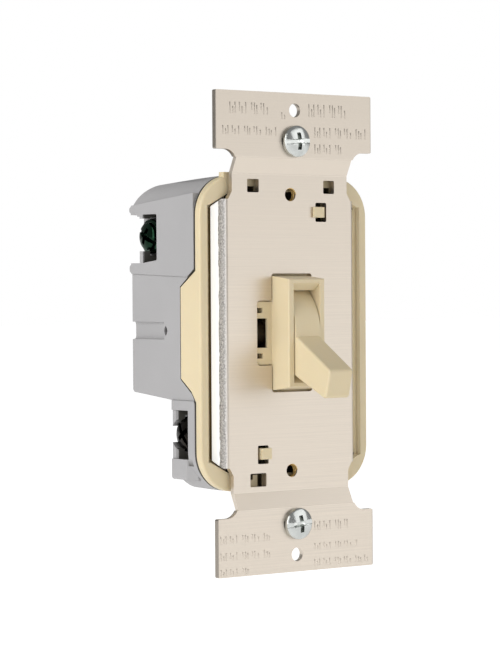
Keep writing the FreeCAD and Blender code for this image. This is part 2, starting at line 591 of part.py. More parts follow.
def pocket_lip(z0, z1):
    end_y = HOUSING_BACK_Y + 0.6
    lip = box(-BODY_HALF_X, -PLATE_X, HOUSING_BACK_Y - 0.8, end_y, z0, z1)
    return round_edges(lip, 0.6, lambda edge: runs_along(edge, AXIS_X) and edge.BoundBox.YMin > end_y - 0.1)


def case_screw_cup(x, z, block):
    cup = rod_y(BOSS_R + 1.3, CASE_SCREW_SEAT_Y - 1.4, HOUSING_BACK_Y - 0.8, x, z)
    return cup.common(block)


def rear_housing():
    block = housing_block()
    block = round_edges(block, REAR_TOP_ROUND_R, on_rear_top)
    block = round_edges(block, REAR_BOTTOM_ROUND_R, on_rear_bottom)
    block = union([block] + both_sides(upper_side_panel()))
    shell = less(block, housing_cavity())
    walls = [ground_pocket_walls()] + both_sides(side_terminal_walls())
    walls += [pocket_lip(26.6, 28.0), pocket_lip(13.4, 15.1)]
    posts = [rod_y(BOSS_R, BOARD_FRONT_Y + BOARD_T + 0.1, CASE_SCREW_SEAT_Y + 0.1, x, z) for x, z in BOSS_XZ]
    posts += [case_screw_cup(x, z, block) for x, z in BOSS_XZ]
    shell = union([shell] + walls + posts)
    cuts = ground_pocket() + [skirt_gap(), skirt_gap().mirror(V(0, 0, 0), AXIS_X)]
    for maker in (side_terminal_pocket, side_groove):
        for tool in maker():
            cuts += both_sides(tool)
    cuts += both_sides(ridge_step())
    cuts += [rod_y(1.5, BOARD_FRONT_Y, HOUSING_BACK_Y + 1, x, z) for x, z in BOSS_XZ]
    cuts += [rod_y(2.9, CASE_SCREW_SEAT_Y, HOUSING_BACK_Y + 1, x, z) for x, z in BOSS_XZ]
    return union([less(shell, cuts), ground_pocket_nub()])


def housing_screws():
    screws = []
    face_y = CASE_SCREW_SEAT_Y + CASE_SCREW_HEAD_H
    for x, z in BOSS_XZ:
        shank = rod_y(SCREW_HOLE_R - 0.02, 11.0, CASE_SCREW_SEAT_Y + 0.1, x, z)
        head = rod_y(2.5, CASE_SCREW_SEAT_Y, face_y, x, z)
        head = round_edges(head, 0.6, lambda edge: edge.BoundBox.YMin > face_y - 0.1)
        cross = [box(x - 1.4, x + 1.4, face_y - 0.8, face_y + 1, z - 0.3, z + 0.3),
                 box(x - 0.3, x + 0.3, face_y - 0.8, face_y + 1, z - 1.4, z + 1.4)]
        screws.append(shank.fuse(head).cut(cross))
    return Part.makeCompound(screws)


# ---- screws that move ----
def combination_head(radius, height, crown):
    head = Part.makeCylinder(radius, height, V(0, 0, 0), V(0, -1, 0))
    ball_r = (radius * radius + crown * crown) / (2 * crown)
    ball = Part.makeSphere(ball_r, V(0, ball_r - height, 0))
    head = head.common(ball)
    slot = box(-radius - 1, radius + 1, -height - 1, -height * 0.45, -0.55, 0.55)
    cross = [box(-1.7, 1.7, -height - 1, -height * 0.2, -0.5, 0.5),
             box(-0.5, 0.5, -height - 1, -height * 0.2, -1.7, 1.7)]
    return head.cut([slot] + cross)


def box_screw(z):
    head = combination_head(BOX_HEAD_R, BOX_HEAD_H, BOX_CROWN)
    length = BOX_SCREW_LENGTH
    neck_end = STRAP_T + WASHER_Y[1] + 0.03
    neck = Part.makeCylinder(BOX_NECK_R, neck_end + 0.5, V(0, 0, 0), AXIS_Y)
    shank = Part.makeCylinder(BOX_SCREW_R, length - neck_end, V(0, neck_end, 0), AXIS_Y)
    shank = round_edges(shank, 0.5, lambda edge: edge.BoundBox.YMin > length - 0.1)
    screw = union([head, neck, shank])
    screw.translate(V(0, -STRAP_T - 0.02, z))
    return screw


def terminal_screw(side, y, z):
    dome = combination_head(TERMINAL_DOME_R, TERMINAL_HEAD_H, TERMINAL_CROWN)
    flange = Part.makeCylinder(TERMINAL_HEAD_R, TERMINAL_FLANGE_H, V(0, -TERMINAL_FLANGE_H, 0), AXIS_Y)
    length = TERMINAL_FACE_X - TERMINAL_HEAD_H - TERMINAL_TIP_X
    shank = Part.makeCylinder(TERMINAL_SHANK_R, length, V(0, 0, 0), AXIS_Y)
    shank = round_edges(shank, 0.5, lambda edge: edge.BoundBox.YMin > length - 0.1)
    screw = union([dome, flange, shank])
    screw.rotate(V(0, 0, 0), AXIS_Z, -90 if side < 0 else 90)
    screw.translate(V(side * (TERMINAL_FACE_X - TERMINAL_HEAD_H), y, z))
    return screw


def screw_washers():
    washers = []
    for z in (-BOX_SCREW_Z, BOX_SCREW_Z):
        square = box(-WASHER_HALF_X, WASHER_HALF_X, WASHER_Y[0], WASHER_Y[1],
                     z - WASHER_HALF_Z, z + WASHER_HALF_Z)
        washers.append(square.cut(rod_y(BOX_SCREW_R + 0.05, -1, 2, 0, z)))
    return Part.makeCompound(washers)


# ---- terminals ----
def ground_plate():
    blade = box(-PLATE_X, -PLATE_X + PLATE_T, 2.4, 27.4, 17.0, 26.0)
    return blade.cut(rod_x(TERMINAL_SHANK_R + 0.06, -20, -10, GROUND_Y, GROUND_Z))


def side_terminal_plate(side):
    blade = box(PLATE_X, PLATE_X + PLATE_T, FLOOR_BACK_Y + 0.1, STEP_Y - 0.4, -26.6, -17.7)
    hole = rod_x(TERMINAL_SHANK_R + 0.06, 10, 20, SIDE_TERMINAL_Y, SIDE_TERMINAL_Z)
    foot = box(10.6, PLATE_X + 0.1, FLOOR_BACK_Y + 0.1, FLOOR_BACK_Y + 0.9, -26.6, -24.5)
    run = box(10.6, 13.2, FLOOR_BACK_Y + 0.1, FLOOR_BACK_Y + 0.6, -26.6, -9.9)
    rise = box(10.6, 13.2, FLOOR_BACK_Y + 0.1, BOARD_FRONT_Y, -10.7, -9.9)
    plate = union([blade, foot, run, rise]).cut(hole)
    return plate if side > 0 else plate.mirror(V(0, 0, 0), AXIS_X)


# ---- circuit board and what stands on it ----
def circuit_board():
    board = box(-19.9, 19.9, BOARD_FRONT_Y, BOARD_FRONT_Y + BOARD_T, -11.2, 30.0)
    corner = box(-21, -13.6, BOARD_FRONT_Y - 1, BOARD_FRONT_Y + BOARD_T + 1, 13.8, 31)
    other_corner = box(17.6, 21, BOARD_FRONT_Y - 1, BOARD_FRONT_Y + BOARD_T + 1, 27.6, 31)
    holes = [rod_y(1.5, BOARD_FRONT_Y - 1, BOARD_FRONT_Y + 3, x, z) for x, z in BOSS_XZ]
    return board.cut([corner, other_corner] + holes)


def pot_base():
    base = box(-4.3, 4.3, 17.9, BOARD_FRONT_Y, -8.6, 8.6)
    return base.cut(box(-3.2, 3.2, 17, 19.3, -7.4, 7.4))


def pot_track():
    return box(-1.5, 1.5, 19.15, 19.3, -7.2, 7.2)


def wiper_carrier():
    low = WIPER_REST_Z
    slab = box(-2.9, 2.9, 17.95, 18.9, low - 2.5, low + 2.5)
    cheek = box(1.5, 2.6, 15.1, 18.0, low - 1.3, low + 1.3)
    pin = rod_x(WIPER_PIN_R, -2.6, 2.6, WIPER_PIN_Y, low)
    return union([slab, pin] + both_sides(cheek))


def wiper_contact():
    low = WIPER_REST_Z
    return box(-1.2, 1.2, 18.9, 19.08, low - 1.9, low + 1.9)


def triac_body():
    body = box(-13.0, -3.0, 3.3, 6.5, 16.6, 25.4)
    return round_edges(body, 0.4, lambda edge: edge.BoundBox.YMin > 6.4)


def triac_tab():
    tab = box(-13.0, -3.0, 2.02, 3.3, 16.6, 30.4)
    return tab.cut(rod_y(1.8, 1, 4, -8, 27.8))


def insulating_pad():
    return box(-13.6, -2.4, PLATE_BACK_Y, 2.02, 16.0, 30.6)


def triac_leads():
    leads = []
    for step in (-1, 0, 1):
        x = -8.0 + 2.54 * step
        down = box(x - 0.4, x + 0.4, 4.6, 5.1, 14.9, 16.6)
        back = box(x - 0.4, x + 0.4, 4.6, BOARD_FRONT_Y, 14.7, 15.2)
        leads.append(down.fuse(back).removeSplitter())
    return Part.makeCompound(leads)


def choke_core():
    core = rod_y(CHOKE_R, CHOKE_Y[0], CHOKE_Y[1], *CHOKE_XZ).cut(rod_y(3.6, 10, 20.2, *CHOKE_XZ))
    return round_edges(core, 0.6, lambda edge: abs(edge.Length - 2 * math.pi * CHOKE_R) < 0.1)


def choke_winding():
    turns = []
    for step in range(15):
        angle = 20 * step + 40
        loop = box(2.9, 8.3, CHOKE_Y[0] - 0.6, CHOKE_Y[1] + 0.6, -0.45, 0.45)
        loop = loop.cut(box(3.4, CHOKE_R + 0.1, CHOKE_Y[0] - 0.05, CHOKE_Y[1] + 0.05, -1, 1))
        loop.rotate(V(0, 0, 0), AXIS_Y, angle)
        loop.translate(V(CHOKE_XZ[0], 0, CHOKE_XZ[1]))
        turns.append(loop)
    return Part.makeCompound(turns)


def film_capacitor():
    body = box(11.2, 19.4, 10.2, BOARD_FRONT_Y, -6.0, 8.0)
    return round_edges(body, 0.8, lambda edge: edge.BoundBox.YMin > 10 or edge.BoundBox.YMax < 10.3)


def timing_capacitor():
    body = box(-12.0, -8.2, 14.5, BOARD_FRONT_Y, -4.6, 2.6)
    return round_edges(body, 0.7, lambda edge: edge.BoundBox.YMax < 14.6)


def axial_part(x, z, radius, length):
    body = rod_z(radius, z - length / 2, z + length / 2, x, BOARD_FRONT_Y - radius - 0.3)
    lead = rod_z(0.3, z - length / 2 - 1.2, z + length / 2 + 1.2, x, BOARD_FRONT_Y - radius - 0.3)
    legs = [rod_y(0.3, BOARD_FRONT_Y - radius - 0.3, BOARD_FRONT_Y, x, z + side * (length / 2 + 1.2))
            for side in (-1, 1)]
    return union([body, lead] + legs)


def resistors():
    return Part.makeCompound([axial_part(x, -1.0, 1.2, 6.4) for x in (-18.2, -15.0)])


def trigger_diode():
    return axial_part(-6.3, -1.0, 0.9, 3.6)


# ---- on-off contacts ----
def contact_arm():
    leaf = box(ARM_AXIS_X, 8.0, 11.4, 14.4, 7.3, 7.6)
    roll = rod_y(ARM_ROLL_R, 11.4, 14.4, ARM_AXIS_X, ARM_AXIS_Z)
    return leaf.fuse(roll).cut(rod_z(0.8, 7, 8, 6.5, 12.9)).removeSplitter()


def moving_contact():
    return rod_z(1.4, 6.9, 7.3, 6.5, 12.9).fuse(rod_z(0.78, 7.2, 7.9, 6.5, 12.9))


def arm_bracket():
    post = box(-13.8, -12.5, 11.2, BOARD_FRONT_Y, 5.0, 10.0)
    return post.cut(rod_y(ARM_ROLL_R + 0.08, 10, 14.6, ARM_AXIS_X, ARM_AXIS_Z))


def fixed_contact_plate():
    shelf = box(4.6, 8.6, 11.0, 15.0, 4.2, 5.0)
    back = box(4.9, 8.6, 14.2, BOARD_FRONT_Y, 4.2, 5.0)
    return union([shelf, back]).cut(rod_z(0.8, 4, 6, 6.5, 12.9))


def fixed_contact():
    return rod_z(1.4, 5.0, 5.95, 6.5, 12.9).fuse(rod_z(0.78, 4.0, 5.1, 6.5, 12.9))


os.makedirs("parts", exist_ok=True)
save("mounting_strap", mounting_strap())
save("front_cover", front_cover())
save("toggle_bezel", toggle_bezel())
save("pivot_pin", pivot_pin())
save("toggle_lever", toggle_lever())
save("rear_housing", rear_housing())
save("housing_screws", housing_screws())
save("box_screw_top", box_screw(BOX_SCREW_Z))
save("box_screw_bottom", box_screw(-BOX_SCREW_Z))
save("screw_washers", screw_washers())
save("ground_screw", terminal_screw(-1, GROUND_Y, GROUND_Z))
save("line_screw", terminal_screw(-1, SIDE_TERMINAL_Y, SIDE_TERMINAL_Z))
save("load_screw", terminal_screw(1, SIDE_TERMINAL_Y, SIDE_TERMINAL_Z))
save("ground_plate", ground_plate())
save("line_plate", side_terminal_plate(-1))
save("load_plate", side_terminal_plate(1))
save("circuit_board", circuit_board())
save("pot_base", pot_base())
save("pot_track", pot_track())
save("wiper_carrier", wiper_carrier())
save("wiper_contact", wiper_contact())
save("triac_body", triac_body())
save("triac_tab", triac_tab())
save("triac_leads", triac_leads())
save("insulating_pad", insulating_pad())
save("choke_core", choke_core())
save("choke_winding", choke_winding())
save("film_capacitor", film_capacitor())
save("timing_capacitor", timing_capacitor())
save("resistors", resistors())
save("trigger_diode", trigger_diode())
save("contact_arm", contact_arm())
save("moving_contact", moving_contact())
save("arm_bracket", arm_bracket())
save("fixed_contact_plate", fixed_contact_plate())
save("fixed_contact", fixed_contact())
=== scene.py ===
import json
import math

import bmesh
import bpy
from mathutils import Matrix, Vector


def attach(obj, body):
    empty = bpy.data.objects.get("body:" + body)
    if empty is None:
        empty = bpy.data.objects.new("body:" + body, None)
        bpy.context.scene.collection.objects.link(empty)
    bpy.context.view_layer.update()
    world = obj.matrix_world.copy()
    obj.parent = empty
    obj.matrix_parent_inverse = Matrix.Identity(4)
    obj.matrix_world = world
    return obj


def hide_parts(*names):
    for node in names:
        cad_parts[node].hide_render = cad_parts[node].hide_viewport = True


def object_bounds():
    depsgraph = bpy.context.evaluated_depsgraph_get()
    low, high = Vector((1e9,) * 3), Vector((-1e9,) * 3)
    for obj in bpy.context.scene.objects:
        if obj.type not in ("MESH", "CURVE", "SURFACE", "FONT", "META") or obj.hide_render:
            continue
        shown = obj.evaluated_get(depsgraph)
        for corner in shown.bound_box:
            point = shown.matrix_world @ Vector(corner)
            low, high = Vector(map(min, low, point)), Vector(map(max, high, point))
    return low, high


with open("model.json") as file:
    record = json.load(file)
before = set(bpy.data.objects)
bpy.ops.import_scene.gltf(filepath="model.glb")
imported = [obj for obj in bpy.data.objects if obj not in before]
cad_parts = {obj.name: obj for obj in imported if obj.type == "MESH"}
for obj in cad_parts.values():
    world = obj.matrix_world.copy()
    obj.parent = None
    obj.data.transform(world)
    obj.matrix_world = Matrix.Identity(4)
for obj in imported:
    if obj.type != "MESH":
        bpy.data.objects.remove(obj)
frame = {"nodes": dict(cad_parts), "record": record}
CAD_LOW, CAD_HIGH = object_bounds()
MM = 0.001

# ---- camera: angles in degrees, lens and sensor in millimetres ----
CAMERA_PLACE = Vector((-320.9, -428.5, 9.5)) * MM
CAMERA_AZIMUTH = 35.83
CAMERA_PITCH = -1.03
CAMERA_ROLL = 0.36
CAMERA_LENS = 132.2
SENSOR_WIDTH = 36.0

# ---- light and surroundings: strengths as the camera sees them and as they light the object ----
WORLD_SEEN = 1.0
WORLD_LIGHT = 0.3
FLOOR_SEEN = 0.75
FLOOR_LIGHT = 0.45
FLOOR_DROP = 45 * MM
FLOOR_HALF = 6.0
# Each soft light's name, place, size (metres) and power (watts). All point at the part's origin.
SOFT_LIGHTS = (
    ("left_bank", (-1.15, -0.18, 0.38), (0.9, 1.2), 11.7),
    ("front_bank", (0.75, -1.05, 0.35), (1.3, 1.2), 4.85),
)

# ---- zones that the materials colour apart, several of them as painted shade or painted highlight, in mm in the part's frame ----
# A pair is where a fade starts and ends, JOG_Z holds two fades, and the pockets' pairs are their spans.
LEG_X = (17.0, 17.4)
LEG_Z = (29.2, 29.5)
LEG_SHEARED_Y = (3.05, 3.45)
# Where the legs' glowing painted highlight gives way to their dark-brown painted shadow.
LEG_GLOW_TO_SHADOW_Y = (6.05, 6.2)
EAR_END_X = (20.9, 21.0)
JOG_Z = (34.3, 34.7, 37.8, 38.2)
FACE_TONE_Z = (-50.0, 50.0)
POCKET_X = (22.1, 22.6)
UPPER_POCKETS = {"Y": (18.8, 25.2), "Z": (15.4, 26.4)}
LOWER_POCKETS = {"Y": (6.2, 12.6), "Z": (-28.6, -15.8)}
BEHIND_STRAP_Y = (2.3, 3.3)
BEHIND_STRAP_X = 13.2
BEHIND_STRAP_Z = 33.9

# ---- screws ----
SHANK_R = 1.75 * MM
THREAD_PITCH = 0.79 * MM
THREAD_DEPTH = 0.3 * MM
THREAD_RUN_OUT = 1.2 * MM
SCREW_ROUNDING = 0.11 * MM
SLOT_HALF = 0.42 * MM
CROSS_ARM = 1.25 * MM
CROSS_HALF = 0.33 * MM
CROSS_SPREAD = 1.9

BOX_HEAD_R = 3.45 * MM
BOX_HEAD_H = 1.9 * MM
BOX_HEAD_CROWN = 0.8 * MM
BOX_HEAD_EDGE = 0.3 * MM
BOX_SHANK_LENGTH = 18.4 * MM
BOX_NECK_R = 1.35 * MM
BOX_NECK_LENGTH = 1.65 * MM
BOX_SEAT_Y = -1.22 * MM
# Each box screw's name, height and recess turn in degrees.
BOX_SCREWS = (("box_screw_top", 41.67 * MM, 4.0), ("box_screw_bottom", -41.67 * MM, 7.0))

FLANGE_R = 3.9 * MM
FLANGE_H = 0.8 * MM
TERMINAL_HEAD_H = 2.3 * MM
TERMINAL_HEAD_CROWN = 0.6 * MM
TERMINAL_HEAD_EDGE = 0.2 * MM
TERMINAL_SLOT_R = 3.0 * MM
TERMINAL_SHANK_LENGTH = 7.4 * MM
TERMINAL_NECK_LENGTH = 0.9 * MM
TERMINAL_SEAT_X = 19.6 * MM
# Each terminal screw's name, side, depth into the wall, height, dome radius, material and recess turn.
TERMINAL_SCREWS = (
    ("ground_screw", -1, 25.4 * MM, 21.4 * MM, 3.0 * MM, "green_screw", 62.0),
    ("line_screw", -1, 11.05 * MM, -21.9 * MM, 3.2 * MM, "black_screw", 35.0),
    ("load_screw", 1, 11.05 * MM, -21.9 * MM, 3.2 * MM, "brass", 100.0),
)

# ---- threads in the strap's cover-plate holes ----
TAPPED_THREADS = (("tapped_thread_top", 30.1625 * MM), ("tapped_thread_bottom", -30.1625 * MM))
TAPPED_START_Y = 0.62 * MM
TAPPED_PITCH = 0.6 * MM
TAPPED_TURNS = 2.6
TAPPED_STEPS = 40
TAPPED_CREST_R = 1.24 * MM
TAPPED_RUN_OUT_R = 1.44 * MM
TAPPED_ROOT_R = 1.47 * MM
TAPPED_HALF_WIDTH = 0.17 * MM


# ---------------------------------------------------------------- node helpers
class Surface:
    """A material whose nodes are added one call at a time."""

    def __init__(self, name, color, roughness, metallic=0.0, specular=0.5):
        self.material = bpy.data.materials.new(name)
        self.material.use_nodes = True
        self.tree = self.material.node_tree
        self.shader = self.tree.nodes["Principled BSDF"]
        self.set("Base Color", (*color, 1.0))
        self.set("Roughness", roughness)
        self.set("Metallic", metallic)
        self.set("Specular IOR Level", specular)
        self.place = self.add("ShaderNodeTexCoord").outputs["Object"]

    def set(self, socket, value):
        self.shader.inputs[socket].default_value = value

    def add(self, kind, **settings):
        node = self.tree.nodes.new(kind)
        for key, value in settings.items():
            setattr(node, key, value)
        return node

    def link(self, source, target):
        self.tree.links.new(source, target)

    def along(self, axis, unsigned=False):
        split = self.add("ShaderNodeSeparateXYZ")
        self.link(self.place, split.inputs["Vector"])
        place = split.outputs[axis]
        return self.math("ABSOLUTE", place, 0.0) if unsigned else place

    def stretched(self, scale, turn=(0, 0, 0)):
        mapping = self.add("ShaderNodeMapping")
        mapping.inputs["Scale"].default_value = scale
        mapping.inputs["Rotation"].default_value = turn
        self.link(self.place, mapping.inputs["Vector"])
        return mapping.outputs["Vector"]

    def noise(self, scale, detail=3.0, roughness=0.55, place=None):
        node = self.add("ShaderNodeTexNoise")
        node.inputs["Scale"].default_value = scale
        node.inputs["Detail"].default_value = detail
        node.inputs["Roughness"].default_value = roughness
        self.link(place or self.place, node.inputs["Vector"])
        return node.outputs["Fac"]

    def remap(self, value, low, high, out_low, out_high):
        node = self.add("ShaderNodeMapRange")
        for key, number in (("From Min", low), ("From Max", high),
                            ("To Min", out_low), ("To Max", out_high)):
            node.inputs[key].default_value = number
        self.link(value, node.inputs["Value"])
        return node.outputs["Result"]

    def math(self, operation, first, second):
        node = self.add("ShaderNodeMath", operation=operation)
        for index, value in enumerate((first, second)):
            if isinstance(value, (int, float)):
                node.inputs[index].default_value = value
            else:
                self.link(value, node.inputs[index])
        return node.outputs[0]

    def mix(self, factor, first, second):
        node = self.add("ShaderNodeMix", data_type="RGBA")
        self.link(factor, node.inputs["Factor"])
        for socket, value in ((node.inputs[6], first), (node.inputs[7], second)):
            if isinstance(value, tuple):
                socket.default_value = (*value, 1.0)
            else:
                self.link(value, socket)
        return node.outputs[2]

    def bump(self, height, strength, distance, below=None):
        node = self.add("ShaderNodeBump")
        node.inputs["Strength"].default_value = strength
        node.inputs["Distance"].default_value = distance
        self.link(height, node.inputs["Height"])
        if below is not None:
            self.link(below, node.inputs["Normal"])
        return node.outputs["Normal"]

    def crevice(self, reach, low, high):
        """One in narrow gaps and inner corners, zero on open faces."""
        node = self.add("ShaderNodeAmbientOcclusion", samples=8)
        node.inputs["Distance"].default_value = reach
        return self.remap(node.outputs["AO"], low, high, 1.0, 0.0)

    def to(self, socket, source):
        self.link(source, self.shader.inputs[socket])


def shade(color, factor):
    return tuple(min(1.0, channel * factor) for channel in color)


def mm(places):
    return tuple(place * MM for place in places)


# ---------------------------------------------------------------- materials
def clouded(surface, color):
    """The slight unevenness of a moulded plastic's colour."""
    cloud = surface.remap(surface.noise(55.0, 2.0), 0.3, 0.7, 0.0, 1.0)
    return surface.mix(cloud, shade(color, 0.965), shade(color, 1.02))


def mould_grain(surface, grain, roughness):
    fine = surface.noise(grain, 4.0, 0.6)
    surface.to("Roughness", surface.remap(fine, 0.25, 0.75, roughness - 0.05, roughness + 0.06))
    surface.to("Normal", surface.bump(fine, 0.12, 0.03 * MM))


def moulded_plastic(name, color, roughness, grain, specular=0.5):
    surface = Surface(name, color, roughness, specular=specular)
    surface.to("Base Color", clouded(surface, color))
    mould_grain(surface, grain, roughness)
    return surface.material


def brushed_strap(name, color):
    """Brushed aluminium. The strap's two legs are painted in zones as the photo shows them: a grainy band
    at the front, then a white painted highlight that also glows, then a dark-brown painted shadow
    furthest back.
    """
    surface = Surface(name, color, 0.36, metallic=1.0)
    surface.set("Anisotropic", 0.3)
    lines = brush_lines(surface)
    leg = leg_mask(surface)
    sheared = surface.math("MULTIPLY", leg, depth_mask(surface, *LEG_SHEARED_Y))
    in_front = surface.remap(surface.along("Y"), *mm(LEG_GLOW_TO_SHADOW_Y), 1.0, 0.0)
    speckle = surface.remap(surface.noise(2300.0, 5.0, 0.75), 0.36, 0.64, 0.0, 1.0)
    grain = surface.mix(speckle, (0.17, 0.165, 0.165), (0.68, 0.665, 0.655))
    # Painted light on the legs: a white painted highlight in front of the fade, a dark-brown painted
    # shadow behind it.
    painted_glow_and_shadow = surface.mix(in_front, (0.10, 0.065, 0.02), (0.93, 0.93, 0.93))
    leg_tone = surface.mix(sheared, painted_glow_and_shadow, grain)
    surface.to("Base Color", surface.mix(leg, face_tone(surface, lines, color), leg_tone))
    surface.to("Metallic", surface.remap(leg, 0.0, 1.0, 1.0, 0.0))
    # The painted highlight also glows, though the strap is no lamp.
    painted_glow = surface.math("MULTIPLY", surface.math("SUBTRACT", leg, sheared), in_front)
    surface.set("Emission Color", (0.90, 0.95, 1.0, 1.0))
    surface.to("Emission Strength", surface.math("MULTIPLY", painted_glow, 0.62))
    rough = surface.remap(lines, 0.3, 0.7, 0.30, 0.42)
    surface.to("Roughness", surface.math("ADD", rough, surface.math("MULTIPLY", leg, 0.2)))
    fine = surface.bump(lines, 0.10, 0.02 * MM)
    peel = surface.math("MULTIPLY", speckle, sheared)
    surface.to("Normal", surface.bump(peel, 0.6, 0.08 * MM, fine))
    return surface.material


def brush_lines(surface):
    """Long and short brush marks across the strap."""
    long_lines = surface.noise(1.0, 3.0, 0.6, surface.stretched((22.0, 500.0, 4200.0)))
    short_lines = surface.noise(1.0, 2.0, 0.6, surface.stretched((150.0, 900.0, 7800.0)))
    return surface.math("ADD", surface.math("MULTIPLY", long_lines, 0.6),
                        surface.math("MULTIPLY", short_lines, 0.4))


def face_tone(surface, lines, color):
    """The strap apart from its legs: streaked, darker upwards, with a painted highlight on the jogs and
    dark ear ends.
    """
    patch = surface.remap(surface.noise(30.0, 3.0), 0.3, 0.7, 0.0, 0.6)
    level = surface.remap(lines, 0.3, 0.7, 0.0, 1.0)
    streaked = surface.mix(level, shade(color, 0.86), shade(color, 1.07))
    blotched = surface.mix(patch, streaked, shade(color, 0.96))
    height = surface.remap(surface.along("Z"), *mm(FACE_TONE_Z), 0.0, 1.0)
    toned = surface.mix(surface.math("MULTIPLY", height, 0.55), blotched, shade(color, 0.62))
    # Painted highlight on both jogs.
    jog = surface.math("MULTIPLY", band(surface, *JOG_Z), 0.52)
    with_jog_highlight = surface.mix(jog, toned, shade(color, 1.28))
    ear_end = surface.remap(surface.along("X", True), *mm(EAR_END_X), 0.0, 0.8)
    return surface.mix(ear_end, with_jog_highlight, shade(color, 0.42))


def leg_mask(surface):
    """One on the outer faces of the strap's two long legs, between its shoulders."""
    across = surface.remap(surface.along("X", True), *mm(LEG_X), 0.0, 1.0)
    between = surface.remap(surface.along("Z", True), *mm(LEG_Z), 1.0, 0.0)
    return surface.math("MULTIPLY", across, between)


def band(surface, start, full, fall, end):
    """One on both jogs, between two distances (mm) from the middle of the strap."""
    height = surface.along("Z", True)
    rise = surface.remap(height, start * MM, full * MM, 0.0, 1.0)
    return surface.math("MULTIPLY", rise, surface.remap(height, fall * MM, end * MM, 1.0, 0.0))


def depth_mask(surface, start, end):
    """One in front of start, zero behind end, both in mm into the wall, with a ragged border."""
    ragged = surface.remap(surface.noise(500.0, 3.0), 0.3, 0.7, -0.25 * MM, 0.25 * MM)
    depth = surface.math("ADD", surface.along("Y"), ragged)
    return surface.remap(depth, start * MM, end * MM, 1.0, 0.0)


def pocket_mask(surface, spans):
    """One inside the side pockets with these spans, fading to zero at the case's outer face."""
    inward = surface.remap(surface.along("X", True), *mm(POCKET_X), 1.0, 0.0)
    for axis, (low, high) in spans.items():
        place = surface.along(axis)
        above = surface.math("GREATER_THAN", place, low * MM)
        below = surface.math("LESS_THAN", place, high * MM)
        inward = surface.math("MULTIPLY", inward, surface.math("MULTIPLY", above, below))
    return inward


def housing_plastic(name, color, roughness):
    """The case's grey plastic, with near-black painted shade in narrow gaps and in its two rows of side
    pockets.
    """
    surface = Surface(name, color, roughness, specular=0.4)
    upper = pocket_mask(surface, UPPER_POCKETS)
    lower = pocket_mask(surface, LOWER_POCKETS)
    gaps = surface.crevice(1.6 * MM, 0.35, 0.7)
    shaded = surface.math("ADD", gaps, surface.math("ADD", upper, lower))
    dark = surface.math("MINIMUM", shaded, 0.88)
    # The near-black colour is painted shade in the gaps and inside the side pockets.
    surface.to("Base Color", surface.mix(dark, clouded(surface, color), (0.045, 0.043, 0.032)))
    mould_grain(surface, 2600.0, roughness)
    return surface.material


def ivory(name, color, roughness):
    """Moulded ivory, with a dark-brown painted shadow in the middle of the space behind the strap."""
    surface = Surface(name, color, roughness, specular=0.45)
    behind = surface.remap(surface.along("Y"), *mm(BEHIND_STRAP_Y), 0.0, 0.97)
    middle = surface.math("LESS_THAN", surface.along("X", True), BEHIND_STRAP_X * MM)
    inside = surface.math("LESS_THAN", surface.along("Z", True), BEHIND_STRAP_Z * MM)
    behind_strap_shadow = surface.math("MULTIPLY", behind, surface.math("MULTIPLY", middle, inside))
    # The dark brown is painted shadow under the strap.
    surface.to("Base Color", surface.mix(behind_strap_shadow, clouded(surface, color), (0.035, 0.022, 0.008)))
    mould_grain(surface, 2400.0, roughness)
    surface.set("Subsurface Weight", 0.15)
    surface.set("Subsurface Radius", (0.9, 0.6, 0.3))
    surface.set("Subsurface Scale", 0.8 * MM)
    return surface.material


def plated_metal(name, color, roughness, tint=None):
    surface = Surface(name, color, roughness, metallic=1.0)
    cloud = surface.remap(surface.noise(420.0, 4.0), 0.3, 0.7, 0.0, 1.0)
    surface.to("Base Color", surface.mix(cloud, shade(color, 0.82), tint or shade(color, 1.06)))
    fine = surface.noise(3200.0, 4.0, 0.65)
    surface.to("Roughness", surface.remap(fine, 0.3, 0.7, max(roughness - 0.06, 0.04), roughness + 0.08))
    surface.to("Normal", surface.bump(fine, 0.15, 0.02 * MM))
    return surface.material


def laminate(name, color):
    surface = Surface(name, color, 0.55)
    weave = surface.add("ShaderNodeTexWave", wave_type="BANDS", bands_direction="DIAGONAL")
    weave.inputs["Scale"].default_value = 900.0
    weave.inputs["Distortion"].default_value = 2.0
    surface.link(surface.place, weave.inputs["Vector"])
    surface.to("Base Color", surface.mix(weave.outputs["Fac"], shade(color, 0.85), shade(color, 1.1)))
    surface.to("Normal", surface.bump(weave.outputs["Fac"], 0.1, 0.03 * MM))
    return surface.material


